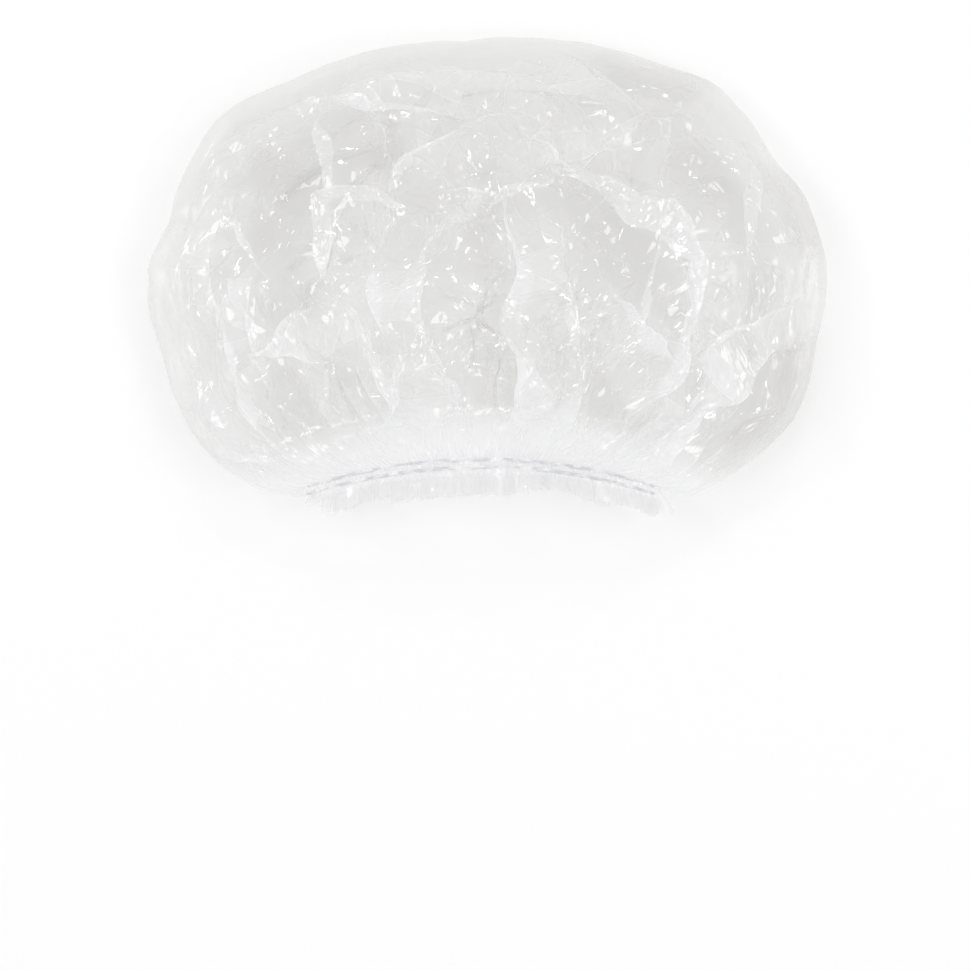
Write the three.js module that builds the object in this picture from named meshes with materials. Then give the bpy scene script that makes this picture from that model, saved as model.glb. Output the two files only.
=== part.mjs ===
// Disposable shower cap of thin clear film, lying on its back with the crown towards +Y and the mouth
// towards -Y. One disc of film is gathered by two elastic threads, and its margin past them is a frill.
import * as THREE from "three";

// Outline as laid flat, in millimetres, from the crown round the side to the mouth
const CAP_WIDTH = 246; // across the two side lobes
const CROWN_Y = 87.5;
const CROWN_HALF = 44; // half the stretch over which the crown edge is nearly straight
const CROWN_DROP = 5; // fall of the crown edge over that stretch
const SHOULDER_X = 82;
const SHOULDER_Y = 69;
const FLANK_X = 110;
const FLANK_Y = 36;
const LOBE_Y = -4; // height of the widest point
const CHEEK_X = 107;
const CHEEK_Y = -57;
const TUCK_X = 79;
const TUCK_Y = -80;

// How the loose film stands above the surface that it lies on
const PUFF_HEIGHT = 56.5;
const PUFF_Y = -12;
const BROW_HEIGHT = 43;
const BROW_Y = 48;
const CHIN_HEIGHT = 49.5;
const CHIN_Y = -46;
const RIM_HEIGHT = 11; // of the fold along the crown and the sides
const BACK_TURN = 9; // how far in from the crown edge the back film comes down to the surface
const RIM_RIDGE = 2; // ridge along the front, just in from the crown edge

// Relief of the loose front film, each with half its width
const LEDGE_RISE = 1.5; // where the upper film hangs over the lower film
const LEDGE_REACH = 9;
const STRIP_RISE = 4.5; // strips of film folded over themselves
const STRIP_REACH = 10;
const HOLLOW_DEPTH = 4; // single film between them
const HOLLOW_REACH = 13;

// Where the relief runs, seen from above, as shares of half the cap's width and of the crown's height
const LEDGES = [
  [[0.58, 0.1], [0.42, 0.27], [0.24, 0.41], [0.09, 0.32], [-0.04, 0.26]],
];
const STRIPS = [
  [[0.2, 0.2], [0.2, -0.16], [0.22, -0.6]],
  [[-0.24, -0.32], [-0.16, -0.6]],
  [[-0.45, 0.24], [-0.44, -0.08]],
  [[0.54, -0.62], [0.64, -0.44], [0.78, -0.3], [0.96, -0.16]],
  [[-0.84, -0.7], [-0.9, -0.5]],
];
const HOLLOWS = [
  [[-0.62, 0.52], [-0.62, 0.02]],
  [[-0.1, 0.2], [-0.02, -0.16]],
];

// The gathered mouth
const MOUTH_WIDTH = 126; // relaxed elastic loop, laid flat
const MOUTH_GAPE = 34; // between the front and the back lip
const MOUTH_CORNER_Y = -77;
const FRONT_LIP_Y = -67;
const BACK_LIP_Y = -69;
const FRILL_WIDTH = 11; // film margin past the upper thread
const FRILL_FLARE = 1.5; // how far the margin leans outwards at its edge

// Film and elastic
const FILM_WALL = 0.4; // stands for a film of about 0.02
const THREAD_DIAMETER = 1.0;
const THREAD_PITCH = 2.8; // between the two rows of elastic
const SEAT_GAP = 0.3; // between a thread and the folds that it holds

// Folds: narrow ones held by the elastic, which merge in pairs towards the crown. Each depth is half a fold.
const GATHER_COUNT = 36;
const HEM_GATHER = 1.6; // at the elastic
const EDGE_GATHER = 2.2; // at the edge of the frill
const WALL_GATHER = 2.6; // on the wall, at half the count
const CROWN_GATHER = 1.4; // near the crown, at a quarter of the count

// How finely the film and the threads are faceted
const WALL_ROWS = 18;
const FRILL_ROWS = 3;
const THREAD_SIDES = 6;

// How round a section across the cap is: 1 for an ellipse, more for a pinched edge and less for a flat face
const FRONT_ROUNDNESS = 1.15;
const BACK_ROUNDNESS = 0.45;
const LIP_ROUNDNESS = 1;

const { lerp, smoothstep } = THREE.MathUtils;
const columns = 2 * GATHER_COUNT;
const threadRadius = THREAD_DIAMETER / 2;
// The back lip's folds stay clear of the surface that the cap lies on.
const lipClearance = Math.max(HEM_GATHER, EDGE_GATHER) + FRILL_FLARE;
const mouthHeight = lipClearance + MOUTH_GAPE / 2;

const point = (x, y, z) => new THREE.Vector3(x, y, z);
const spline = (points) => new THREE.CatmullRomCurve3(points, false, "centripetal");

// Profiles from the crown edge to the upper thread: down the right side, down the front and down the back
const sideProfile = spline([
  point(0, CROWN_Y, RIM_HEIGHT),
  point(CROWN_HALF, CROWN_Y - CROWN_DROP, RIM_HEIGHT),
  point(SHOULDER_X, SHOULDER_Y, RIM_HEIGHT),
  point(FLANK_X, FLANK_Y, RIM_HEIGHT),
  point(CAP_WIDTH / 2, LOBE_Y, RIM_HEIGHT),
  point(CHEEK_X, CHEEK_Y, RIM_HEIGHT),
  point(TUCK_X, TUCK_Y, (RIM_HEIGHT + mouthHeight) / 2),
  point(MOUTH_WIDTH / 2, MOUTH_CORNER_Y, mouthHeight),
]);
const frontProfile = spline([
  point(0, CROWN_Y, RIM_HEIGHT),
  point(0, BROW_Y, BROW_HEIGHT),
  point(0, PUFF_Y, PUFF_HEIGHT),
  point(0, CHIN_Y, CHIN_HEIGHT),
  point(0, FRONT_LIP_Y, mouthHeight + MOUTH_GAPE / 2),
]);
const backProfile = spline([
  point(0, CROWN_Y, RIM_HEIGHT),
  point(0, CROWN_Y - BACK_TURN, 0),
  point(0, PUFF_Y, 0),
  point(0, BACK_LIP_Y, mouthHeight - MOUTH_GAPE / 2),
]);

// A point of the film without its folds. along runs from 0 at the crown to 1 at the upper thread, and
// angle goes round the cap from the right side over the front.
function smoothWall(along, angle) {
  const onFront = Math.sin(angle) > 0;
  const side = sideProfile.getPointAt(along);
  const middle = (onFront ? frontProfile : backProfile).getPointAt(along);
  const bodyRoundness = onFront ? FRONT_ROUNDNESS : BACK_ROUNDNESS;
  const roundness = lerp(bodyRoundness, LIP_ROUNDNESS, smoothstep(along, 0.7, 1));
  const across = Math.cos(angle);
  const rise = Math.abs(Math.sin(angle)) ** roundness;
  return point(side.x * across, lerp(middle.y, side.y, across ** 2), lerp(side.z, middle.z, rise));
}

// The way out of the wall, square to it
function wallNormal(along, angle) {
  const step = 1e-3;
  const round = smoothWall(along, angle + step).sub(smoothWall(along, angle - step));
  const down = smoothWall(Math.min(along + step, 1), angle).sub(smoothWall(along - step, angle));
  return round.cross(down).normalize();
}

// The way out at the lips, square to the way that the mouth faces
function lipNormal(angle) {
  return point(Math.cos(angle) * MOUTH_GAPE, 0, Math.sin(angle) * MOUTH_WIDTH).normalize();
}

// The frill carries the wall on past the upper thread, out of the mouth and leaning a little outwards.
function smoothFrill(distance, angle) {
  const lean = (FRILL_FLARE * distance) / FRILL_WIDTH;
  return smoothWall(1, angle).addScaledVector(lipNormal(angle), lean).add(point(0, -distance, 0));
}

const columnAngle = (column) => (column * 2 * Math.PI) / columns;
const hemFold = (column) => (column % 2 === 0 ? 1 : -1);

// Folds of one rank: so many go round the cap, each from -1 in its valley to 1 on its ridge.
function zigzag(count, angle, shift) {
  const turn = (count * angle) / (2 * Math.PI) + shift;
  return 4 * Math.abs(turn - Math.floor(turn + 0.5)) - 1;
}

// How far the gathers stand out from the wall
function gathers(along, column) {
  const angle = columnAngle(column);
  const atHem = smoothstep(along, 0.8, 1);
  const onWall = smoothstep(along, 0.3, 0.75) * (1 - atHem);
  const nearCrown = smoothstep(along, 0.05, 0.35) * (1 - smoothstep(along, 0.6, 0.9));
  const uneven = 0.75 + 0.25 * Math.sin(5 * angle + 9 * along);
  const hemDepth = atHem * HEM_GATHER * hemFold(column);
  const wallDepth = onWall * WALL_GATHER * zigzag(Math.round(GATHER_COUNT / 2), angle, 0.3);
  const crownDepth = nearCrown * CROWN_GATHER * zigzag(Math.round(GATHER_COUNT / 4), angle, 0.1);
  return hemDepth + uneven * (wallDepth + crownDepth);
}

// How close a place is to lines of points, from 1 on them to 0 well beyond their reach
function closeness(place, lines, reach) {
  const width = CAP_WIDTH / 2;
  const near = new THREE.Vector3();
  let total = 0;
  for (const line of lines) {
    let distance = Infinity;
    for (let end = 1; end < line.length; end++) {
      const from = point(line[end - 1][0] * width, line[end - 1][1] * CROWN_Y, 0);
      const to = point(line[end][0] * width, line[end][1] * CROWN_Y, 0);
      new THREE.Line3(from, to).closestPointToPoint(place, true, near);
      distance = Math.min(distance, near.distanceTo(place));
    }
    total += Math.exp(-((distance / reach) ** 2));
  }
  return total;
}

// How far the relief of the front stands out: the ridge by the crown edge, ledges, strips and hollows
function frontRelief(along, angle) {
  const front = Math.max(Math.sin(angle), 0);
  const ridge = Math.sqrt(front) * RIM_RIDGE * Math.exp(-(((along - 0.12) / 0.04) ** 2));
  const place = smoothWall(along, angle).setZ(0);
  const ledges = LEDGE_RISE * closeness(place, LEDGES, LEDGE_REACH);
  const strips = STRIP_RISE * closeness(place, STRIPS, STRIP_REACH);
  const hollows = HOLLOW_DEPTH * closeness(place, HOLLOWS, HOLLOW_REACH);
  const pastRim = smoothstep(front, 0, 0.4) * smoothstep(along, 0.1, 0.25);
  const beforeHem = 1 - smoothstep(along, 0.82, 0.95);
  return ridge + pastRim * beforeHem * (ledges + strips - hollows);
}

// A point of the film: where it is without folds, the way out, and how far the folds stand out there
function filmPoint(row, column) {
  const angle = columnAngle(column);
  if (row > WALL_ROWS) {
    const share = (row - WALL_ROWS) / FRILL_ROWS;
    const fold = lerp(HEM_GATHER, EDGE_GATHER, share) * hemFold(column);
    return { base: smoothFrill(share * FRILL_WIDTH, angle), out: lipNormal(angle), fold };
  }
  const along = row / WALL_ROWS;
  const out = wallNormal(along, angle).lerp(lipNormal(angle), smoothstep(along, 0.8, 1)).normalize();
  return { base: smoothWall(along, angle), out, fold: gathers(along, column) + frontRelief(along, angle) };
}

// The film: an outer and an inner skin, one wall apart, joined round the edge of the frill
function filmGeometry() {
  const lastRow = WALL_ROWS + FRILL_ROWS;
  const crown = smoothWall(0, 0);
  const vertices = [];
  const [outer, inner] = [0, FILM_WALL].map((depth) => {
    const first = vertices.length / 3;
    vertices.push(crown.x, crown.y - depth, crown.z);
    for (let row = 1; row <= lastRow; row++) {
      for (let column = 0; column < columns; column++) {
        const { base, out, fold } = filmPoint(row, column);
        const place = base.addScaledVector(out, fold - depth);
        vertices.push(place.x, place.y, Math.max(place.z, depth)); // flat where it lies
      }
    }
    return (row, column) => (row === 0 ? first : first + 1 + (row - 1) * columns + (column % columns));
  });

  const triangles = [];
  const quad = (a, b, c, d) => triangles.push(a, b, c, a, c, d);
  for (let column = 0; column < columns; column++) {
    const next = column + 1;
    triangles.push(outer(0, 0), outer(1, next), outer(1, column));
    triangles.push(inner(0, 0), inner(1, column), inner(1, next));
    for (let row = 1; row < lastRow; row++) {
      quad(outer(row, column), outer(row, next), outer(row + 1, next), outer(row + 1, column));
      quad(inner(row, column), inner(row + 1, column), inner(row + 1, next), inner(row, next));
    }
    quad(outer(lastRow, column), outer(lastRow, next), inner(lastRow, next), inner(lastRow, column));
  }

  const geometry = new THREE.BufferGeometry();
  geometry.setAttribute("position", new THREE.Float32BufferAttribute(vertices, 3));
  geometry.setIndex(triangles);
  geometry.computeVertexNormals();
  return geometry;
}

// An elastic thread: a closed loop inside the lips, seated against the inner side of the folds.
function threadGeometry(distance) {
  const foldDepth = lerp(HEM_GATHER, EDGE_GATHER, distance / FRILL_WIDTH);
  const seat = foldDepth + FILM_WALL + SEAT_GAP + threadRadius;
  const route = [];
  for (let column = 0; column < columns; column++) {
    const angle = columnAngle(column);
    route.push(smoothFrill(distance, angle).addScaledVector(lipNormal(angle), -seat));
  }
  const loop = new THREE.CatmullRomCurve3(route, true, "centripetal");
  return new THREE.TubeGeometry(loop, columns, threadRadius, THREAD_SIDES, true);
}

function part(name, geometry, look) {
  const mesh = new THREE.Mesh(geometry, new THREE.MeshStandardMaterial(look));
  mesh.name = name;
  return mesh;
}

const clearFilm = { color: 0xe9ebec, roughness: 0.22, metalness: 0, transparent: true, opacity: 0.35 };
const greyElastic = { color: 0xc9ccd2, roughness: 0.6, metalness: 0 };

const cap = new THREE.Group();
cap.add(part("cap_film", filmGeometry(), clearFilm));
cap.add(part("upper_elastic_thread", threadGeometry(0), greyElastic));
cap.add(part("lower_elastic_thread", threadGeometry(THREAD_PITCH), greyElastic));

export default cap;
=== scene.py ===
"""A disposable shower cap of thin clear film, lying on its back and seen from straight above.

The film is cut from one flat disc, gathered on two elastic threads and left to settle, so that its folds,
creases and frill come from the length of film that there is to put away.
"""
import math

import bpy
import numpy as np
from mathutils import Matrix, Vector
from mathutils.geometry import delaunay_2d_cdt


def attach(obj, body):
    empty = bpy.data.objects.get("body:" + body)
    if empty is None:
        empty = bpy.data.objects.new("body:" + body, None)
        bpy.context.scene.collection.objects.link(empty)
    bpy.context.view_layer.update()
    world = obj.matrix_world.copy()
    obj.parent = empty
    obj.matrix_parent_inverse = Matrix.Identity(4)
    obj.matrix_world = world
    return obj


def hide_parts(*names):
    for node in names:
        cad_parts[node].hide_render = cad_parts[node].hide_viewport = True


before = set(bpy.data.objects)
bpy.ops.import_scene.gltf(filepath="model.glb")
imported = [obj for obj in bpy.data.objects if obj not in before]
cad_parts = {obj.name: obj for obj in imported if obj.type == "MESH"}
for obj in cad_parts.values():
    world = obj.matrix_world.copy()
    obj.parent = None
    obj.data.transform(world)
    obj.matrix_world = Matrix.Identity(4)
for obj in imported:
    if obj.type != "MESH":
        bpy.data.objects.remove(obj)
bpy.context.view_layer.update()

MM = 0.001  # the film is worked out in millimetres and placed in metres

# The cut film
FILM_RADIUS = 222.0
THREAD_RADIUS_ON_FILM = 211.0  # circle of the cut disc that the upper thread holds
FRILL_WIDTH = FILM_RADIUS - THREAD_RADIUS_ON_FILM
FRILL_FLARE = 0.14  # how far the frill leans out for each millimetre past the upper thread

# The pouch that the film makes: profiles from the crown edge to the upper thread, as (x, y, z)
CROWN = (4, 87, 11)
RIGHT_SIDE = [CROWN, (46, 83, 11), (84, 70, 10), (106, 42, 11), (118, 27, 11), (124, -2, 11), (121, -24, 11),
              (118, -40, 11), (106, -60, 11), (88, -75, 12), (73, -80, 16), (62, -77, 21)]
LEFT_SIDE = [CROWN, (-26, 85, 11), (-60, 76, 11), (-90, 64, 10), (-108, 42, 11), (-116, 20, 11),
             (-124, -8, 11), (-119, -27, 11), (-114, -45, 11), (-106, -60, 11), (-91, -74, 12),
             (-75, -80, 16), (-65, -77, 21)]
FRONT = [CROWN, (4, 76, 18), (3, 62, 33), (2, 42, 46), (0, -10, 56), (0, -48, 50), (0, -67, 38)]
BACK = [CROWN, (4, 80, 0.5), (0, -12, 0.5), (0, -67.4, 4)]
MOUTH_GAPE = 34.0
MOUTH_WIDTH = 126.0
LOWEST = 0.4  # the film lies this high above the floor

# The outline as it lies, seen from above, anticlockwise from the right of the mouth to the left of it
OUTLINE = [
    (73, -81.3), (88, -74.7), (106.3, -60), (113, -52.7), (118.8, -38), (121.3, -23.4), (124.7, -8.8),
    (124.7, 5.9), (117.7, 27.8), (106.3, 42.4), (96.8, 57.1), (90, 64.5), (84, 70.6), (64, 78), (45.6, 83.5),
    (28, 86.5), (12.6, 87.5), (-8, 86), (-25.8, 85.3), (-47.8, 80.9), (-71.6, 71.8), (-89.2, 64.4),
    (-99, 57.1), (-108.2, 42.4), (-114.4, 27.8), (-115.4, 20.5), (-123.1, 5.9), (-125, -8.8),
    (-119.2, -23.4), (-118.8, -30.7), (-114, -45.4), (-106, -60), (-92.4, -74.7), (-75.2, -80.9),
]

# The free edge of the frill as it lies
FRILL_EDGE = [
    (-67, -80.0), (-62, -82.1), (-57.5, -86.6), (-51, -85), (-39, -81.1), (-30, -82.1), (-20, -80.8),
    (-4, -79.7), (8, -79.9), (17, -77.6), (26, -77.8), (33, -79.5), (41, -83.2), (52, -83.5), (62, -87.5),
    (64, -86),
]

# How many pleats go round the film: pinched by the threads, let out in the frill and merging up the wall,
# with the wider waves of the frill
HEM_PLEATS = 190
FRILL_PLEATS = 62
LOW_PLEATS = 84
UPPER_PLEATS = 40
FRILL_WAVES = 27
HELD_UP_TO = 7  # the film this far above the upper thread keeps its pleats as they are laid

# Folds over the front, seen from above, where the film lies over itself: (points, half width, height, side of
# the line whose film lies on top, 1 for left)
FOLDS = [
    ([(80, -8), (77, 2), (66, 14), (52, 24), (39, 32), (29, 36), (11, 28), (-4, 23), (-14, 17), (-27, 9)],
     10, 6, -1),
    ([(-14, 19), (-27, 25), (-37, 28), (-51, 27), (-60, 19)], 7, 3, -1),
    ([(-41, 8), (-38, -22), (-29, -54)], 8, 4, 1),
    ([(-24, 12), (-22, -14), (-8, -55)], 7, 4, -1),
    ([(10.5, 27), (10.5, -14), (14, -58)], 9, 5, 1),
    ([(29, 24), (30, -9), (35, -32), (32, -54)], 6, 3, -1),
    ([(62, -52), (72, -34), (90, -20), (121, -3)], 7, 4, -1),
    ([(70, -62), (84, -44), (100, -31), (119, -22)], 7, 4, 1),
    ([(-62, 63), (-57, 39), (-57, -6), (-60, -15)], 6, 3, 1),
    ([(31, 18), (44, 0), (54, -19), (60, -35)], 5, 2.5, 1),
    ([(56, 13), (60, -9), (59, -36)], 4, 2, -1),
    ([(-46, 64), (-38, 48), (-30, 30)], 4, 2, 1),
    ([(-23, 59), (-30, 31)], 4, 2, -1),
    ([(-67, 63), (-50, 61.5), (-37, 60.5), (-14, 58), (9, 60)], 5, 3, 1),
    ([(-115, 21), (-101, 44), (-91, 51), (-76, 59.5), (-64, 63), (-51, 69), (-31, 73), (-11, 74.6),
      (11, 75.4), (26, 81)], 3.5, 2, 1),
    ([(24, 82), (36, 74), (49, 64), (57, 57), (70, 60), (85, 62)], 5, 2.5, 1),
    ([(58, 59), (45, 47), (34, 41)], 4, 2.5, -1),
    ([(-31, 29), (-24, 41), (-10, 51), (14, 60)], 6, 3, 1),
    ([(-93, 22), (-82, 4), (-74, -8)], 5, 2.5, 1),
    ([(-89, -13), (-81, -28), (-76, -42)], 5, 2.5, -1),
    ([(-82, -28), (-60, -11)], 4, 2.5, -1),
    ([(-80, -27), (-46, -35)], 4, 2.5, 1),
    ([(-60, -8), (-50, -19), (-44, -36), (-40, -56)], 5, 3, -1),
    ([(77, 8), (76, -13), (64, -36), (62, -52)], 6, 3, -1),
    ([(63, 38), (69, 24), (88, 35)], 4, 2, 1),
    ([(92, 54), (99, 32), (92, 0)], 6, 2.5, 1),
    ([(-68, -76), (-94, -65), (-111, -42)], 6, 3, 1),
    ([(-66, -70), (-84, -52), (-101, -23)], 6, 3, -1),
    ([(66, -77), (90, -64), (111, -46)], 5, 2.5, -1),
    ([(-60, -34), (-60, -62)], 4, 2.5, 1),
    ([(-36, -42), (-31, -64)], 4, 2.5, -1),
    ([(-15, -40), (-13, -62)], 4, 2, 1),
    ([(13, -38), (15, -64)], 4, 2.5, 1),
    ([(29, -40), (31, -63)], 4, 2.5, -1),
    ([(49, -40), (50, -62)], 4, 2.5, 1),
]

# Patches of single film, clearer than the rest, and of film folded over itself, hazier, seen from above:
# (points, half width, strength)
# The clearer patches also get more painted shade, and the hazier ones less painted shade along the rim
CLEARER = [
    ([(-76, 40), (-74, -4)], 9, 0.75), ([(-36, 55), (-32, 41)], 7, 1.0), ([(2, 20), (3, -18)], 8, 1.0),
    ([(3, -18), (4, -54)], 7, 1.2), ([(38, 22), (60, -2)], 12, 1.0),
    ([(110, -28), (106, -44), (97, -54)], 8, 0.9), ([(90, -59), (80, -69)], 5, 1.2),
    ([(-75, -42), (-68, -60)], 8, 1.3), ([(-53, -38), (-44, -60)], 8, 1.0), ([(38, -42), (52, -57)], 7, 1.0),
    ([(66, -2), (66, -26)], 5, 0.7), ([(46, 76), (72, 66)], 7, 0.6), ([(74, 36), (84, 26)], 7, 0.7),
    ([(110, 34), (119, 12)], 6, 0.6), ([(-60, 50), (-68, 30)], 6, 0.6),
]
HAZIER = [
    ([(-34, 6), (-31, -20), (-20, -50)], 7, 1.0), ([(19, 20), (20, -15), (24, -52)], 7, 0.8),
    ([(66, -66), (72, -47), (92, -29), (122, -12)], 7, 1.0), ([(-20, 50), (15, 46), (40, 46)], 12, 1.0),
    ([(-16, 36), (32, 36)], 10, 0.5), ([(-44, 66), (-8, 67), (26, 62)], 8, 0.7),
    ([(-46, 24), (-33, 22), (-16, 14)], 7, 0.8), ([(-112, 4), (-106, -38), (-84, -66)], 14, 1.1),
    ([(66, -52), (64, -80)], 8, 1.0), ([(-72, -22), (-54, -30)], 8, 0.6), ([(100, 40), (108, 0)], 8, 0.4),
    ([(-92, 24), (-98, -5)], 10, 0.9), ([(-62, -38), (-61, -62)], 3, 0.9), ([(-35, -40), (-30, -64)], 4, 0.8),
    ([(-14, -40), (-12, -62)], 4, 0.9), ([(14, -38), (16, -64)], 4, 0.8), ([(29, -40), (31, -62)], 4, 0.9),
    ([(49, -42), (50, -62)], 3, 0.8), ([(59, -40), (57, -62)], 3, 0.8),
    ([(-60, -64), (0, -60), (60, -64)], 4, 0.7),
]

# The elastic
THREAD_THICKNESS = 0.9
THREAD_PITCH = 2.8
THREAD_INSET = 0.8  # how far the threads lie inside the lips
THREAD_STEPS = 360
THREAD_SIDES = 10

# The film's colours and haze
MILK_WHITE = (0.987, 0.989, 0.995, 1)
# painted shade: grey milk for the darker floor seen through the film where it lies on it, at rim and frill
MILK_PAINTED_SHADE = (0.61, 0.60, 0.565, 1)
CLEAR = (0.996, 0.996, 0.997, 1)
BACK_CLEARNESS = 0.61  # of all the layers of the back together
HEM_HAZE = 0.06
FRILL_HAZE = 0.22
# how much painted shade greys the frill
FRILL_PAINTED_SHADE = 0.2

# The film's flat facets between creases, in metres: (length, width, turn in degrees, seed, width of the
# creases, how much the creases show, how much the facets differ in haze, slope to each side)
FACETS = [
    (0.060, 0.014, 25, 0.31, 0.0003, 1.0, 1.0, 0.22),
    (0.050, 0.012, -48, 0.73, 0.0003, 1.0, 1.0, 0.22),
    (0.024, 0.006, 75, 0.17, 0.0002, 0.5, 0.6, 0.15),
]

# The camera: the photograph's frame is so many millimetres wide, centred this far below the cap's middle
FRAME_WIDTH = 355.0
FRAME_CENTRE = (-0.2, -76.5)
LENS = 150.0
SENSOR = 36.0

# The room, in metres and watts: white all round, a softbox on each side and three strips for the glints
ROOM_STRENGTH = 0.865
SOFTBOXES = {"left_softbox": (-0.9, 0.1, 1.3), "right_softbox": (0.9, 0.2, 1.3)}
SOFTBOX_SIZE = (0.4, 0.5)
SOFTBOX_POWER = 1.6
STRIPS = {"strip_0": (-1.0, 0.5, 1.1), "strip_1": (0.1, 1.0, 1.0), "strip_2": (0.9, -0.5, 1.2)}
STRIP_SIZE = (0.40, 0.05)
STRIP_POWER = 1.0
FLOOR_REACH = 3.0


# Camera, floor and lights

def make_camera():
    data = bpy.data.cameras.new("camera")
    data.lens = LENS
    data.sensor_width = SENSOR
    camera = bpy.data.objects.new("camera", data)
    bpy.context.collection.objects.link(camera)
    height = FRAME_WIDTH * LENS / SENSOR + CROWN[2]
    camera.location = Vector((*FRAME_CENTRE, height)) * MM
    bpy.context.scene.camera = camera


def make_softbox(name, place, size, power):
    """A rectangle of light that faces the origin."""
    data = bpy.data.lights.new(name, "AREA")
    data.shape = "RECTANGLE"
    data.size, data.size_y = size
    data.energy = power
    light = bpy.data.objects.new(name, data)
    light.location = place
    light.rotation_euler = (-Vector(place)).to_track_quat("-Z", "Y").to_euler()
    bpy.context.collection.objects.link(light)


def make_lights():
    world = bpy.data.worlds.new("room")
    world.use_nodes = True
    background = world.node_tree.nodes["Background"]
    background.inputs["Color"].default_value = (1.0, 1.0, 1.0, 1.0)
    background.inputs["Strength"].default_value = ROOM_STRENGTH
    bpy.context.scene.world = world
    for name, place in SOFTBOXES.items():
        make_softbox(name, place, SOFTBOX_SIZE, SOFTBOX_POWER)
    for name, place in STRIPS.items():
        make_softbox(name, place, STRIP_SIZE, STRIP_POWER)


def make_floor():
    mesh = bpy.data.meshes.new("floor")
    corners = [(x * FLOOR_REACH, y * FLOOR_REACH, 0) for x, y in ((-1, -1), (1, -1), (1, 1), (-1, 1))]
    mesh.from_pydata(corners, [], [(0, 1, 2, 3)])
    mesh.materials.append(floor_paint())
    floor = bpy.data.objects.new("floor", mesh)
    bpy.context.collection.objects.link(floor)


# Materials

class Value:
    """A socket of a material's nodes, so that shader maths reads as Python."""

    def __init__(self, paint, socket):
        self.paint = paint
        self.socket = socket

    def _math(self, operation, a, b):
        return self.paint.node("ShaderNodeMath", {"operation": operation}, {0: a, 1: b})

    def __add__(self, other):
        return self._math("ADD", self, other)

    def __radd__(self, other):
        return self._math("ADD", other, self)

    def __sub__(self, other):
        return self._math("SUBTRACT", self, other)

    def __rsub__(self, other):
        return self._math("SUBTRACT", other, self)

    def __mul__(self, other):
        return self._math("MULTIPLY", self, other)

    def __rmul__(self, other):
        return self._math("MULTIPLY", other, self)

    def __pow__(self, other):
        return self._math("POWER", self, other)


class Paint:
    """One material and its nodes."""

    def __init__(self, name):
        self.material = bpy.data.materials.new(name)
        self.material.use_nodes = True
        self.nodes = self.material.node_tree.nodes
        self.links = self.material.node_tree.links
        self.surface = self.nodes["Principled BSDF"]
        self.principled = Value(self, self.surface.outputs["BSDF"])

    def node(self, kind, settings=None, sockets=None, output=0):
        """A node of that kind: its settings first, then the values or links of its sockets."""
        node = self.nodes.new(kind)
        for name, value in (settings or {}).items():
            setattr(node, name, value)
        for name, value in (sockets or {}).items():
            self.feed(node.inputs[name], value)
        return Value(self, node.outputs[output])

    def feed(self, socket, value):
        if isinstance(value, Value):
            self.links.new(value.socket, socket)
        else:
            socket.default_value = value

    def look(self, **sockets):
        """Sets the surface's sockets, such as Base_Color or Roughness."""
        for name, value in sockets.items():
            self.feed(self.surface.inputs[name.replace("_", " ")], value)

    def show(self, shader):
        """Makes that shader the one that is seen."""
        self.links.new(shader.socket, self.nodes["Material Output"].inputs["Surface"])

    def over_mesh(self, name, output="Fac"):
        """What the mesh holds at each point under that name."""
        return self.node("ShaderNodeAttribute", {"attribute_name": name}, output=output)

    def noise(self, where, size, detail, seed):
        """Noise of about 0 to 1, with features of that size."""
        place = self.node("ShaderNodeMapping", {}, {"Vector": where, "Location": (seed, 0, 0)})
        return self.node("ShaderNodeTexNoise", {},
                         {"Vector": place, "Scale": 1 / size, "Detail": detail, "Roughness": 0.6})

    def drawn_out(self, where, length, width, turn, seed=0.0):
        """Places for a texture whose features are that long and wide, turned by so many degrees."""
        return self.node("ShaderNodeMapping", {"vector_type": "TEXTURE"},
                         {"Vector": where, "Location": (seed, 0, 0), "Rotation": (0, 0, math.radians(turn)),
                          "Scale": (length, width, 1)})

    def cells(self, place, feature, output):
        """A feature of cells that are about one unit across."""
        return self.node("ShaderNodeTexVoronoi", {"voronoi_dimensions": "2D", "feature": feature},
                         {"Vector": place, "Scale": 1.0}, output)

    def fine_line(self, distance, width):
        """1 on a line and 0 beyond its width."""
        return self.node("ShaderNodeMapRange", {},
                         {"Value": distance, "From Min": 0.0, "From Max": width,
                          "To Min": 1.0, "To Max": 0.0})

    def colours(self, factor, first, second):
        """A colour between two others."""
        return self.node("ShaderNodeMix", {"data_type": "RGBA"},
                         {"Factor": factor, 6: first, 7: second}, output=2)

    def shaders(self, factor, first, second):
        """A shader between two others."""
        return self.node("ShaderNodeMixShader", {}, {0: factor, 1: first, 2: second})

    def bump(self, height, strength, distance):
        return self.node("ShaderNodeBump", {}, {"Height": height, "Strength": strength, "Distance": distance})


def floor_paint():
    paint = Paint("pale floor")
    paint.look(Base_Color=(0.95, 0.95, 0.95, 1), Roughness=0.9)
    return paint.material


def film_facets(paint, on_film):
    """The film's facets: where their creases show, how they differ in haze, and how high their slopes are."""
    creases, shades, slopes = 0, 0, 0
    for length, width, turn, seed, crease_width, crease_weight, shade_weight, slope in FACETS:
        place = paint.drawn_out(on_film, length, width, turn, seed)
        to_crease = width * paint.cells(place, "DISTANCE_TO_EDGE", "Distance")
        creases = creases + crease_weight * paint.fine_line(to_crease, crease_width)
        own_shade = paint.cells(place, "F1", "Color") - 0.5  # the grey of the cell's own colour
        shades = shades + shade_weight * own_shade
        slopes = slopes + slope * to_crease
    return creases, shades, slopes


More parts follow.
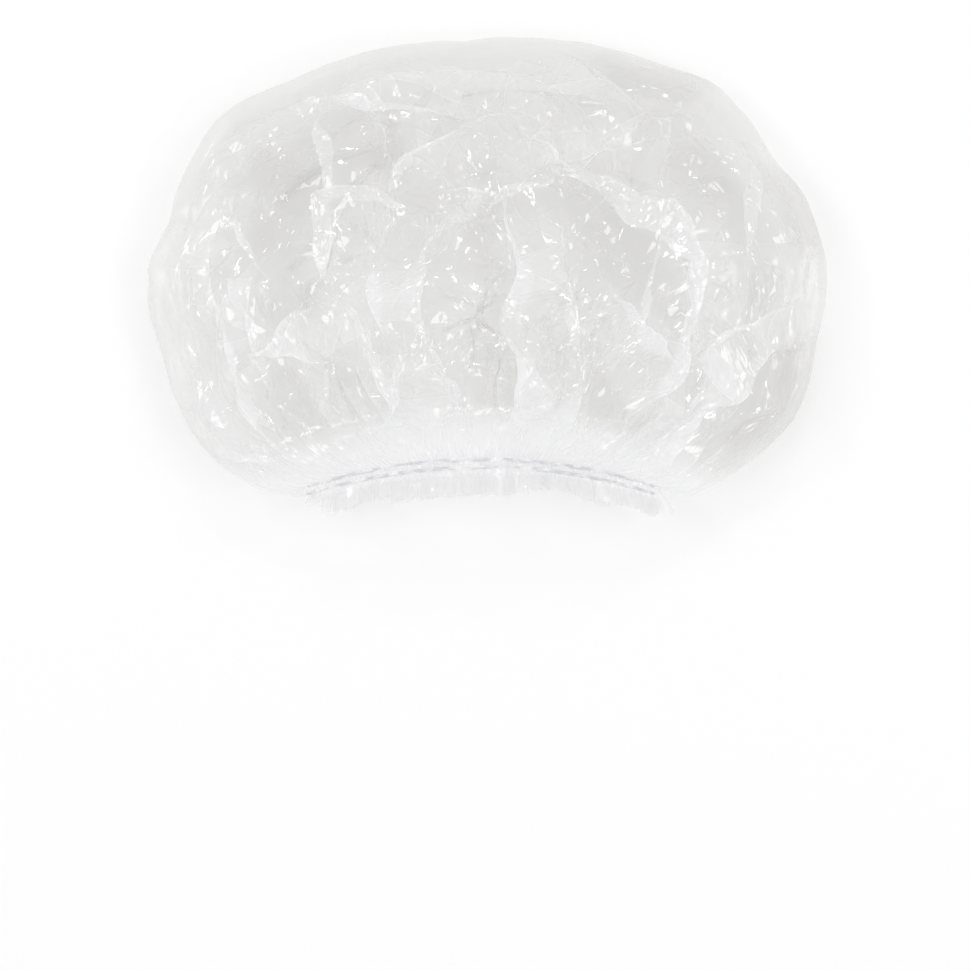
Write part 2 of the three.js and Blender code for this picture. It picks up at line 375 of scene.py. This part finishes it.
def film_paint():
    """Clear film with a milky haze, more on creases and folds, and grey painted shade where it lies on the
    floor.
    """
    paint = Paint("clear film")
    on_film = paint.over_mesh("flat", "Vector")
    on_gathers = paint.over_mesh("gathers", "Vector")
    crumpled = paint.over_mesh("crumpled")
    painted_shade = paint.over_mesh("painted_shade")
    above_hem = 1 - paint.over_mesh("hem")
    creases, shades, slopes = film_facets(paint, on_film)

    cloudy = paint.noise(on_film, size=0.018, detail=3, seed=1.7) - 0.5
    streaky = paint.noise(on_gathers, size=0.004, detail=2, seed=3.1) - 0.5
    worn = paint.noise(on_film, size=0.03, detail=2, seed=9.7) ** 3
    uneven = 1 + 0.5 * cloudy + 0.4 * paint.over_mesh("gathered") * streaky + crumpled * shades
    haze = paint.over_mesh("haze") * uneven
    haze = haze + 0.1 * above_hem * paint.over_mesh("crease") + 0.4 * creases * worn * crumpled

    drawn = paint.drawn_out(on_film, length=0.030, width=0.005, turn=55)
    long_crinkles = 0.0003 * paint.noise(drawn, size=1.0, detail=1, seed=5.3)
    fine_crinkles = 0.0001 * paint.noise(on_gathers, size=0.0025, detail=1, seed=7.9)
    height = (long_crinkles + fine_crinkles + slopes) * (0.15 + 0.85 * crumpled)
    relief = paint.bump(height, strength=1.0, distance=1.0)

    # Painted shade: the milk, surface and translucency both, turns grey where the film lies low on the floor,
    # along the rim and on the frill
    tint = paint.colours(painted_shade, MILK_WHITE, MILK_PAINTED_SHADE)
    paint.look(Base_Color=tint, Roughness=0.35, Specular_IOR_Level=0.0)
    white_milk = paint.node("ShaderNodeBsdfTranslucent", {}, {"Color": MILK_WHITE})
    painted_shade_milk = paint.node("ShaderNodeBsdfTranslucent", {}, {"Color": MILK_PAINTED_SHADE})
    body = paint.shaders(0.5, paint.principled, paint.shaders(painted_shade, white_milk, painted_shade_milk))
    see_through = paint.node("ShaderNodeBsdfTransparent", {}, {"Color": CLEAR})
    film = paint.shaders(haze, see_through, body)

    gloss = paint.node("ShaderNodeBsdfAnisotropic", {},
                       {"Color": (1, 1, 1, 1), "Roughness": 0.08, "Normal": relief})
    edge_on = paint.node("ShaderNodeLayerWeight", {}, {"Blend": 0.5}, output="Facing")
    shine = 0.02 + above_hem * (0.05 + 0.15 * edge_on**4)
    paint.show(paint.shaders(shine, film, gloss))
    return paint.material


def elastic_paint():
    """Pale elastic, ribbed across where the gathers pinch it and greyer where it is pulled thin."""
    paint = Paint("elastic thread")
    place = paint.node("ShaderNodeTexCoord", {}, output="Object")
    pulled = paint.node("ShaderNodeTexNoise", {},
                        {"Vector": place, "Scale": 260.0, "Detail": 1.0, "Roughness": 0.5})
    ribs = paint.node("ShaderNodeTexNoise", {},
                      {"Vector": place, "Scale": 1400.0, "Detail": 2.0, "Roughness": 0.6})
    pale = paint.node("ShaderNodeMapRange", {}, {"Value": pulled, "From Min": 0.4, "From Max": 0.6})
    shade = paint.colours(pale, (0.66, 0.66, 0.69, 1), (0.90, 0.90, 0.91, 1))
    relief = paint.bump(ribs, strength=0.5, distance=0.0003)
    paint.look(Base_Color=shade, Roughness=0.55 + 0.2 * ribs, Normal=relief)
    return paint.material


# The film's shape

def ease(start, end, x):
    """0 before start and 1 after end, with a smooth rise between."""
    t = np.clip((x - start) / (end - start), 0, 1)
    return t * t * (3 - 2 * t)


def brought_to(target, values, share):
    """Values that go that share of the way to the target."""
    return values + (target - values) * share


def unit(vectors):
    return vectors / (np.linalg.norm(vectors, axis=1)[:, None] + 1e-9)


def along_curve(points, share):
    """Points at shares of the length of a smooth curve through the given ones."""
    p = np.array(points, float)
    p = np.vstack([2 * p[0] - p[1], p, 2 * p[-1] - p[-2]])
    fine = []
    for a, b, c, d in zip(p, p[1:], p[2:], p[3:]):
        knots = np.cumsum([0] + [math.sqrt(np.linalg.norm(e - s)) for s, e in ((a, b), (b, c), (c, d))])
        t = np.linspace(knots[1], knots[2], 40, endpoint=False)[:, None]

        def mix(start, end, low, high):
            return start + (end - start) * (t - knots[low]) / (knots[high] - knots[low])

        ab, bc, cd = mix(a, b, 0, 1), mix(b, c, 1, 2), mix(c, d, 2, 3)
        fine.append(mix(mix(ab, bc, 0, 2), mix(bc, cd, 1, 3), 1, 2))
    fine = np.vstack(fine + [p[-2:-1]])
    length = np.r_[0, np.cumsum(np.linalg.norm(np.diff(fine, axis=0), axis=1))]
    return np.stack([np.interp(share, length / length[-1], column) for column in fine.T], -1)


def wander(points, size, seed):
    """A smooth random field over points, about -1 to 1, with features of that size."""
    chance = np.random.default_rng(seed)
    count = 24
    waves = chance.normal(0, 2.2 / size, (count, points.shape[1]))
    return np.cos(points @ waves.T + chance.uniform(0, 2 * np.pi, count)).sum(1) / math.sqrt(count / 2)


def wander_round(angle, rates, seed):
    """A smooth random field round the cap, about -1 to 1."""
    chance = np.random.default_rng(seed)
    total = 0
    for rate in rates:
        total = total + chance.uniform(0.5, 1) * np.sin(rate * angle + chance.uniform(0, 2 * np.pi))
    return total / math.sqrt(len(rates))


def from_line(places, line):
    """How far places lie from a line, positive on its left, the way to its left and the share along it."""
    line = np.array(line, float)
    reach = np.r_[0, np.cumsum(np.linalg.norm(np.diff(line, axis=0), axis=1))]
    nearest = np.full(len(places), np.inf)
    signed, along, left = np.zeros(len(places)), np.zeros(len(places)), np.zeros((len(places), 2))
    for a, b, walked, walked_on in zip(line, line[1:], reach, reach[1:]):
        way = (b - a) / (walked_on - walked)
        t = np.clip((places - a) @ way, 0, walked_on - walked)
        off = places - a - t[:, None] * way
        distance = np.hypot(*off.T)
        closer = distance < nearest
        nearest[closer] = distance[closer]
        to_left = np.array([-way[1], way[0]])
        signed[closer] = (distance * np.sign(off @ to_left + 1e-12))[closer]
        along[closer] = ((walked + t) / reach[-1])[closer]
        left[closer] = to_left
    return signed, left, along


def cut_film():
    """The flat disc of film as points and triangles: fine and even at the hem, coarser and uneven inside."""
    chance = np.random.default_rng(7)
    hem_step, crown_step = 9.6, 17.0
    smallest_ring = 8
    rings = []
    radius, turn = FILM_RADIUS, 0
    while radius > smallest_ring:
        loose = ease(THREAD_RADIUS_ON_FILM - 14, THREAD_RADIUS_ON_FILM - 70, radius)
        step = hem_step + (crown_step - hem_step) * loose
        count = round(2 * math.pi * radius / step)
        stray = chance.uniform(-0.36, 0.36, (2, count)) * step * loose
        angle = (np.arange(count) + 0.5 * (turn % 2)) * 2 * math.pi / count + stray[0] / radius
        rings.append(np.stack([(radius + stray[1]) * np.cos(angle), (radius + stray[1]) * np.sin(angle)], -1))
        radius -= 0.87 * step
        turn += 1
    points = np.vstack(rings + [np.zeros((1, 2))])
    flat, _, triangles, *_ = delaunay_2d_cdt([Vector(p) for p in points], [], [], 0, 1e-4)
    return np.array([tuple(p) for p in flat]), np.array(triangles)


def sides_of(triangles):
    """The three sides of every triangle."""
    sides = np.vstack([triangles[:, [0, 1]], triangles[:, [1, 2]], triangles[:, [2, 0]]])
    return np.sort(sides, axis=1)


def edges_of(triangles):
    """Every side of the triangles, once."""
    return np.unique(sides_of(triangles), axis=0)


class Net:
    """The edges between the film's points, and means over the edges at each point."""

    def __init__(self, triangles, count):
        self.start, self.end = edges_of(triangles).T
        self.count = count
        edge_counts = np.bincount(self.start, minlength=count) + np.bincount(self.end, minlength=count)
        self.edge_counts = edge_counts[:, None]

    def mean(self, at_start, at_end):
        """The mean at each point of what its edges give to their starts and ends."""
        columns = [np.bincount(self.start, s, self.count) + np.bincount(self.end, e, self.count)
                   for s, e in zip(at_start.T, at_end.T)]
        return np.stack(columns, -1) / self.edge_counts

    def around(self, points):
        """The mean of each point's neighbours."""
        return self.mean(points[self.end], points[self.start])


def round_the_pouch(angle):
    """The angle of a section's ellipse at an even share of the way round it."""
    flatness = 0.30
    fine = np.linspace(0, 2 * np.pi, 2001)
    speed = np.hypot(np.sin(fine), flatness * np.cos(fine))
    length = np.r_[0, np.cumsum((speed[1:] + speed[:-1]) / 2)]
    return np.interp(np.mod(angle, 2 * np.pi), length / length[-1] * 2 * np.pi, fine)


def smooth_pouch(share, angle):
    """The pouch without folds, at a share of the way from crown to thread and an angle round the section."""
    across, rise = np.cos(angle), np.sin(angle)
    side = np.where((across > 0)[:, None], along_curve(RIGHT_SIDE, share), along_curve(LEFT_SIDE, share))
    middle = np.where((rise > 0)[:, None], along_curve(FRONT, share), along_curve(BACK, share))
    lip = ease(0.7, 1, share)
    front_roundness, back_roundness = 1.15, 0.45
    roundness = np.where(rise > 0, front_roundness, back_roundness) * (1 - lip) + lip
    x = middle[:, 0] + (side[:, 0] - middle[:, 0]) * np.abs(across)
    y = middle[:, 1] + (side[:, 1] - middle[:, 1]) * across**2
    z = side[:, 2] + (middle[:, 2] - side[:, 2]) * np.abs(rise) ** roundness
    return np.stack([x, y, z], -1)


def out_of_mouth(angle):
    """The way out from the middle of the mouth, at an angle round it."""
    return unit(np.stack([np.cos(angle) * MOUTH_GAPE, 0 * angle, np.sin(angle) * MOUTH_WIDTH], -1))


class Film:
    """The cut film: its flat points and triangles, and where each point goes on the pouch."""

    def __init__(self):
        self.flat, self.triangles = cut_film()
        self.place()
        corners = self.folded[self.triangles]
        volume = np.einsum("ij,ij->i", corners[:, 0], np.cross(corners[:, 1], corners[:, 2])).sum()
        if volume < 0:
            self.triangles = self.triangles[:, ::-1].copy()

    def place(self):
        """Puts each point on the pouch, with the ways out of it and round it there, and folds the film."""
        self.radius = np.hypot(*self.flat.T)
        self.turn = np.arctan2(self.flat[:, 1], self.flat[:, 0])
        self.angle = round_the_pouch(self.turn)
        self.share = np.clip(self.radius / THREAD_RADIUS_ON_FILM, 0, 1)
        self.up_wall = np.maximum(THREAD_RADIUS_ON_FILM - self.radius, 0)
        self.past_thread = np.maximum(self.radius - THREAD_RADIUS_ON_FILM, 0)
        self.front = np.sin(self.angle) > 0
        self.facing = 0.25 + 0.75 * ease(0.25, 0.8, np.abs(np.sin(self.angle)))  # least at the sides

        step = 1e-3
        pouch = smooth_pouch(self.share, self.angle)
        down = smooth_pouch(np.clip(self.share + step, 0, 1), self.angle)
        down -= smooth_pouch(np.clip(self.share - step, 0, 1), self.angle)
        round_it = smooth_pouch(self.share, self.angle + step) - smooth_pouch(self.share, self.angle - step)
        at_lip = ease(0.8, 1, self.share)[:, None]
        self.out = unit(unit(np.cross(round_it, down)) * (1 - at_lip) + out_of_mouth(self.angle) * at_lip)
        self.aside = unit(round_it)
        ahead, behind = round_the_pouch(self.turn + step), round_the_pouch(self.turn - step)
        quickness = np.mod(ahead - behind, 2 * np.pi) / (2 * step)
        spread = np.linalg.norm(round_it, axis=1) / (2 * step) * quickness
        self.closeness = spread / np.maximum(self.radius, 1)
        self.pouch = pouch + self.out * (FRILL_FLARE * self.past_thread)[:, None]
        self.pouch[:, 1] -= self.past_thread
        self.fold()

    def gathers(self):
        """Pleats for the film that the pouch leaves over: how far out and how far aside they push it."""
        climb = self.up_wall
        free = self.past_thread / FRILL_WIDTH
        wandering = self.turn + 0.03 * wander(self.flat, 60, 3) * ease(5, 60, climb)
        spare = np.sqrt(np.maximum(1 - self.closeness**2, 0))

        def pleats(count, share, seed, rates, stray):
            phase = count * wandering + stray * wander_round(self.turn, rates, seed)
            return self.radius / count * spare * share * np.arcsin(0.97 * np.sin(phase))

        def up_to(height):
            """1 at the upper thread, and fading out at about that height above it."""
            return np.exp(-((climb / height) ** 2))

        hem = pleats(HEM_PLEATS, (1 - ease(0, 0.35, free)) * up_to(7), 1, range(3, 40, 4), 2.2)
        hem += pleats(FRILL_PLEATS, 0.8 * ease(0, 0.6, free), 23, range(5, 50, 6), 2.5)
        raised = pleats(LOW_PLEATS, 0.7 * ease(2, 10, climb) * up_to(14), 2, range(3, 30, 3), 2.0)
        raised += pleats(UPPER_PLEATS, self.facing * ease(6, 18, climb) * up_to(55), 3, range(3, 20, 2), 1.6)
        raised *= 0.8 + 0.3 * wander(self.flat, 45, 5)
        lay = np.where(self.front, 1.25 * np.tanh(2.5 * wander_round(self.turn, range(4, 17, 3), 22)), 1.3)
        lay_hem = 1.3 * np.tanh(3 * wander_round(self.turn, range(5, 25, 4), 24))
        return raised * np.cos(lay) + hem * np.cos(lay_hem), raised * np.sin(lay) + hem * np.sin(lay_hem)

    def ruffle(self):
        """How the frill waves out from the threads, and how its edge runs up and down."""
        free = self.past_thread / FRILL_WIDTH
        wave = 3.6 * np.sin(FRILL_WAVES * self.turn + 2.0 * wander_round(self.turn, range(3, 20, 2), 6))
        lip = self.pouch[:, 1] + self.past_thread
        edge = np.interp(self.pouch[:, 0], *np.array(FRILL_EDGE).T) - (lip - FRILL_WIDTH)
        edge += 0.8 * wander_round(self.turn, range(35, 110, 9), 9)
        return wave * free, edge * free

    def strayed(self, far, size, seed):
        """The pouch seen from above, with its places moved about so that lines on it wander."""
        stray = np.stack([wander(self.flat, size, seed), wander(self.flat, size, seed + 1)], -1)
        return self.pouch[:, :2] + far * stray

    def folds(self):
        """The folds over the front: the film doubled back along each line and lifted on one side of it."""
        places = self.strayed(1.6, 20, 31)
        self.from_fold = np.full(len(places), np.inf)
        uneven = 1 + 0.35 * wander(self.flat, 28, 35)
        move = np.zeros_like(self.pouch)
        for line, width, height, side in FOLDS:
            off, left, along = from_line(places, line)
            self.from_fold = np.minimum(self.from_fold, np.abs(off))
            kept = ease(0, 0.2, along) * (1 - ease(0.8, 1, along))
            back = -2.0 * uneven * off * np.exp(-((off / width) ** 2)) * kept
            top = side * off
            rise = 0.5 + 0.5 * np.tanh(top / (0.4 * width))
            lift = height * rise * np.exp(-np.maximum(top, 0) / (2 * width)) * kept
            move += np.column_stack([left * back[:, None], lift])
        fade = self.front * ease(6, 22, self.up_wall)
        return move * fade[:, None]

    def fold(self):
        """The film in its gathers and folds, before it settles."""
        depth, shift = self.gathers()
        wave, edge = self.ruffle()
        self.folded = self.pouch + self.out * (depth + wave)[:, None]
        self.folded = self.folded + self.aside * shift[:, None] + self.folds()
        self.folded[:, 1] += edge
        self.folded[:, 2] = np.maximum(self.folded[:, 2], LOWEST)

    def inside_outline(self):
        """How far inside the outline each point of the pouch lies, seen from above."""
        off, _, _ = from_line(self.pouch[:, :2], OUTLINE)
        return np.abs(off)

    def along_rim(self):
        """1 along the rim, where both sides of the film lie close together, and 0 well inside it."""
        return (1 - ease(8, 22, self.inside_outline())) * ease(20, 40, self.up_wall)

    def on_frill(self):
        """1 on the frill and 0 above the lower thread."""
        return ease(3.5, 6, self.past_thread)

    def looseness(self):
        """How much of the spare length is let out in crumples: little at the rim, the folds and the hem."""
        patchy = 0.65 + 0.35 * wander(self.flat, 45, 41)
        rim = ease(6, 14, self.inside_outline())
        above_gathers = 0.25 + 0.75 * ease(20, 65, self.up_wall)
        clear_of_folds = 0.5 + 0.5 * ease(2, 9, self.from_fold)
        return np.clip(patchy, 0.12, 1) * (0.15 + 0.85 * rim) * above_gathers * clear_of_folds * self.facing

    def lengths(self, start, end):
        """How long each edge of the film is: as folded, with its spare length let out where it is loose."""
        cut = np.linalg.norm(self.flat[start] - self.flat[end], axis=1)
        as_folded = np.linalg.norm(self.folded[start] - self.folded[end], axis=1)
        loose = self.looseness()
        spare = np.maximum(cut - as_folded, 0)
        return as_folded + spare * (loose[start] + loose[end]) / 2

    def split(self, points):
        """Splits each triangle in four, and carries how far the points have settled to the new ones."""
        edges = edges_of(self.triangles)
        count = len(self.flat)
        keys = edges[:, 0] * count + edges[:, 1]

        def middle(a, b):
            return count + np.searchsorted(keys, np.minimum(a, b) * count + np.maximum(a, b))

        a, b, c = self.triangles.T
        ab, bc, ca = middle(a, b), middle(b, c), middle(c, a)
        corners = [(a, ab, ca), (ab, b, bc), (ca, bc, c), (ab, bc, ca)]
        self.triangles = np.vstack([np.stack(corner, -1) for corner in corners])

        def carry(column):
            return np.concatenate([column, (column[edges[:, 0]] + column[edges[:, 1]]) / 2])

        settled = points - self.folded
        self.flat = carry(self.flat)
        self.place()
        return self.folded + carry(settled)

    def settle(self, points, steps, softness):
        """Lets the film move until its edges have their lengths again, held at the threads and the frill."""
        weight = 0.01  # how far the film sinks at each step
        swing = 0.9  # how much of its speed it keeps
        fastest = 0.8  # how far it moves in a step at most
        rounds = 4  # how often its edges are put right at each step
        haste = 1.6  # how far a point goes beyond the mean of what its edges ask for
        net = Net(self.triangles, len(points))
        lengths = self.lengths(net.start, net.end)
        held = self.up_wall < HELD_UP_TO
        near_thread = 1 - ease(HELD_UP_TO, 26, self.up_wall)
        near_rim = 1 - ease(3, 14, self.inside_outline())
        pull = (0.004 + 0.25 * near_thread + 0.03 * near_rim)[:, None]
        floor = np.where(self.front, np.maximum(self.pouch[:, 2] - 8, 1.5), LOWEST)

        speed = np.zeros_like(points)
        for _ in range(steps):
            before = points.copy()
            points = points + swing * speed + pull * (self.folded - points)
            points[:, 2] -= weight
            for _ in range(rounds):
                way = points[net.end] - points[net.start]
                now = np.linalg.norm(way, axis=1) + 1e-9
                move = (0.5 * (1 - lengths / now))[:, None] * way
                points += haste * net.mean(move, -move)
                points += softness * (net.around(points) - points)
                points[:, 2] = np.maximum(points[:, 2], floor)
                points[held] = self.folded[held]
            speed = np.clip(points - before, -fastest, fastest)
        return points

    def calmed(self, points):
        """Takes the finest ripple out of the film where it lies smooth."""
        net = Net(self.triangles, len(points))
        at_rim = 1 - ease(12, 26, self.inside_outline())
        lies_smooth = np.maximum(1 - ease(0.15, 0.6, self.looseness()), at_rim)
        smooth = (0.6 * lies_smooth * ease(10, 24, self.up_wall))[:, None]
        for _ in range(3):
            points = points + smooth * (net.around(points) - points)
        return points

    def to_outline(self, points):
        """Brings the rim of the settled film to the outline, and leaves what lies well inside it."""
        bearing = np.arctan2(points[:, 1], points[:, 0])
        far = np.hypot(points[:, 0], points[:, 1])
        sectors = 180
        loose = self.up_wall > 12
        sector = ((bearing + np.pi) / (2 * np.pi) * sectors).astype(int) % sectors
        reach = np.zeros(sectors)
        np.maximum.at(reach, sector[loose], far[loose])
        reach = (np.roll(reach, 1) + 2 * reach + np.roll(reach, -1)) / 4
        middles = (np.arange(sectors) + 0.5) * 2 * np.pi / sectors - np.pi
        line = np.array(OUTLINE)
        line_bearing = np.unwrap(np.arctan2(line[:, 1], line[:, 0]))
        wanted = np.interp(middles, line_bearing, np.hypot(*line.T))
        in_line = (middles > line_bearing.min()) & (middles < line_bearing.max())
        stretch = np.where(in_line & (reach > 0), wanted / np.maximum(reach, 1), 1.0)
        here = np.interp(bearing, middles, stretch, period=2 * np.pi)
        limit = np.interp(bearing, middles, np.maximum(reach, 1), period=2 * np.pi)
        factor = 1 + (here - 1) * ease(0.55, 0.97, far / limit) * ease(4, 20, self.up_wall)
        points = points.copy()
        points[:, :2] *= factor[:, None]
        return points

    def patches(self, list_of_patches):
        """How strongly each point lies in patches seen from above."""
        places = self.strayed(2.5, 22, 51)
        total = np.zeros(len(places))
        for line, width, strength in list_of_patches:
            off, _, _ = from_line(places, line)
            total += strength * (1 - ease(0.55 * width, 1.45 * width, np.abs(off)))
        return total

    def crumpled(self):
        """How much the film shows fine creases: none on the back, along the rim and at the hem."""
        return self.front * ease(5, 16, self.inside_outline()) * ease(14, 40, self.up_wall)

    def haze(self, layers):
        """How milky the film is: more where it is folded, and on the back shared out among its layers."""
        patchy = 0.16 * self.patches(HAZIER) - 0.14 * self.patches(CLEARER)
        haze = 0.20 + 0.04 * wander(self.flat, 40, 53) + 0.03 * wander(self.flat, 14, 54) + patchy
        haze = np.where(self.front, np.clip(haze, 0.09, 0.6), 1 - BACK_CLEARNESS ** (1 / layers))
        haze = brought_to(np.clip(0.26 + np.abs(patchy), 0.12, 0.4), haze, self.along_rim())
        haze = brought_to(HEM_HAZE, haze, 1 - ease(6, 30, self.up_wall))
        return brought_to(FRILL_HAZE, haze, self.on_frill())

    def painted_shading(self, points):
        """How much painted shade greys the film: where it lies flat on the floor, along the rim and on the
        frill.
        """
        clearer, hazier = self.patches(CLEARER).clip(0, 1), self.patches(HAZIER).clip(0, 1)
        raised = points[:, 2] - self.pouch[:, 2]
        # painted shade on the film that lies low on the floor and faces down, more at the crown and in clear
        # patches
        grey = ~self.front * ease(10, 30, self.up_wall) * (1 - ease(2.5, 6, raised))
        grey *= 0.6 + 0.25 * ease(60, 150, self.up_wall) + 0.18 * clearer
        grey *= ease(0.3, 0.85, -outward(points, self.triangles)[:, 2])
        # painted shade along the rim, more over clearer patches and less over hazier ones
        grey = brought_to(0.48 + 0.25 * clearer - 0.25 * hazier, grey, self.along_rim())
        return brought_to(FRILL_PAINTED_SHADE, grey, self.on_frill())


def settled_film():
    """The film and its points, settled as cut and again after each of three splits."""
    film = Film()
    points = film.settle(film.folded.copy(), 260, 0.02)
    for steps, softness in ((130, 0.012), (60, 0.008), (24, 0.006)):
        points = film.split(points)
        points += np.random.default_rng(11).normal(0, 0.012, points.shape) * film.looseness()[:, None]
        points = film.settle(points, steps, softness)
    return film, film.to_outline(film.calmed(points))


def face_normals(points, triangles):
    """The way that each triangle faces, as long as twice its area."""
    corners = points[triangles]
    return np.cross(corners[:, 1] - corners[:, 0], corners[:, 2] - corners[:, 0])


def outward(points, triangles):
    """The way out of the film at each point."""
    normals = face_normals(points, triangles)
    total = np.zeros_like(points)
    for column in triangles.T:
        np.add.at(total, column, normals)
    return unit(total)


def layers_of(points, triangles):
    """How many layers of those triangles lie over each other at each point, seen from above."""
    cell, spots_along = 1.5, 4
    corners = points[triangles, :2]
    side, other = corners[:, 1] - corners[:, 0], corners[:, 2] - corners[:, 0]
    area = np.abs(side[:, 0] * other[:, 1] - side[:, 1] * other[:, 0]) / 2
    shares = (np.arange(spots_along) + 0.5) / spots_along
    u, v = np.meshgrid(shares, shares)
    beyond = u + v > 1
    u, v = np.where(beyond, 1 - u, u).ravel(), np.where(beyond, 1 - v, v).ravel()
    spots = corners[:, None, 0] + u[:, None] * side[:, None] + v[:, None] * other[:, None]
    low = points[:, :2].min(axis=0) - 2 * cell
    size = tuple(((points[:, :2].max(axis=0) - low) / cell + 3).astype(int))

    def cells(places):
        return tuple(((places - low) / cell).astype(int).T)

    grid = np.zeros(size)
    np.add.at(grid, cells(spots.reshape(-1, 2)), np.repeat(area / len(u), len(u)) / cell**2)
    grid = sum(np.roll(grid, (i, j), (0, 1)) for i in (-1, 0, 1) for j in (-1, 0, 1)) / 9
    return np.maximum(grid[cells(points[:, :2])], 1)


def crease_sharpness(points, triangles):
    """How sharply the film is creased at each point, from 0 to 1."""
    normals = unit(face_normals(points, triangles))
    sides = sides_of(triangles)
    order = np.lexsort(sides.T)
    owner = np.tile(np.arange(len(triangles)), 3)[order]
    sides = sides[order]
    paired = np.flatnonzero((sides[1:] == sides[:-1]).all(1))
    alike = np.einsum("ij,ij->i", normals[owner[paired]], normals[owner[paired + 1]])
    bend = np.arccos(np.clip(alike, -1, 1))
    sharpness = np.zeros(len(points))
    for column in sides[paired].T:
        np.maximum.at(sharpness, column, bend)
    return ease(math.radians(20), math.radians(100), sharpness)


def mesh_piece(name, points, faces, material):
    mesh = bpy.data.meshes.new(name)
    mesh.from_pydata((points * MM).tolist(), [], faces.tolist())
    mesh.materials.append(material)
    mesh.polygons.foreach_set("use_smooth", np.ones(len(faces), bool))
    mesh.update()
    piece = bpy.data.objects.new(name, mesh)
    bpy.context.collection.objects.link(piece)
    return piece


def make_film():
    """The settled film as a piece, with what its paint needs to know at each point."""
    film, points = settled_film()
    piece = mesh_piece("film", points, film.triangles, film_paint())
    piece.data.set_sharp_from_angle(angle=math.radians(18))
    lying = film.triangles[~film.front[film.triangles].any(axis=1)]
    over_mesh = {
        "haze": film.haze(layers_of(points, lying)),
        "crease": crease_sharpness(points, film.triangles),
        # painted shade: where the film lies on the floor, along the rim and on the frill
        "painted_shade": film.painted_shading(points),
        "gathered": ease(0.4, 0.9, film.share),
        "crumpled": film.crumpled(),
        "hem": 1 - ease(6, 32, film.up_wall),
    }
    for name, values in over_mesh.items():
        piece.data.attributes.new(name, "FLOAT", "POINT").data.foreach_set("value", values)
    flat = np.column_stack([film.flat, np.zeros(len(points))]) * MM
    wide, deep = 150, 0.16  # the streaks in the gathers change quickly round the film and slowly down it
    gathers = np.column_stack([wide * np.cos(film.turn), wide * np.sin(film.turn), deep * film.radius]) * MM
    for name, places in (("flat", flat), ("gathers", gathers)):
        piece.data.attributes.new(name, "FLOAT_VECTOR", "POINT").data.foreach_set("vector", places.ravel())
    return piece


# The elastic threads

def make_thread(name, distance, material):
    """A closed loop of elastic inside the lips, that distance past the upper thread's line."""
    turn = np.arange(THREAD_STEPS) * 2 * np.pi / THREAD_STEPS
    angle = round_the_pouch(turn)
    out = out_of_mouth(angle)
    path = smooth_pouch(np.ones(THREAD_STEPS), angle) + out * (FRILL_FLARE * distance - THREAD_INSET)
    path[:, 1] -= distance
    along = unit(np.roll(path, -1, axis=0) - np.roll(path, 1, axis=0))
    aside = unit(np.cross(along, out))
    over = np.cross(aside, along)
    ring = (np.arange(THREAD_SIDES) * 2 * np.pi / THREAD_SIDES)[None, :, None]
    section = np.cos(ring) * over[:, None] + np.sin(ring) * aside[:, None]
    points = path[:, None] + THREAD_THICKNESS / 2 * section
    grid = np.arange(THREAD_STEPS * THREAD_SIDES).reshape(THREAD_STEPS, THREAD_SIDES)
    beside = np.roll(grid, -1, 1)
    faces = np.stack([grid, beside, np.roll(beside, -1, 0), np.roll(grid, -1, 0)], -1)
    return mesh_piece(name, points.reshape(-1, 3), faces.reshape(-1, 4), material)


# Put together

make_camera()
make_lights()
make_floor()

film = make_film()
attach(film, "root")
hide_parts("cap_film")

elastic = elastic_paint()
for name, node, distance in (("upper_thread", "upper_elastic_thread", 0.0),
                             ("lower_thread", "lower_elastic_thread", THREAD_PITCH)):
    thread = make_thread(name, distance, elastic)
    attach(thread, "root")
    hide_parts(node)

scene = bpy.context.scene
scene.view_settings.view_transform = "Standard"
# Enough bounces for light to get through many layers of film
scene.cycles.transparent_max_bounces = 64
scene.cycles.max_bounces = 32
scene.cycles.diffuse_bounces = 16
scene.cycles.transmission_bounces = 16
scene.cycles.glossy_bounces = 6
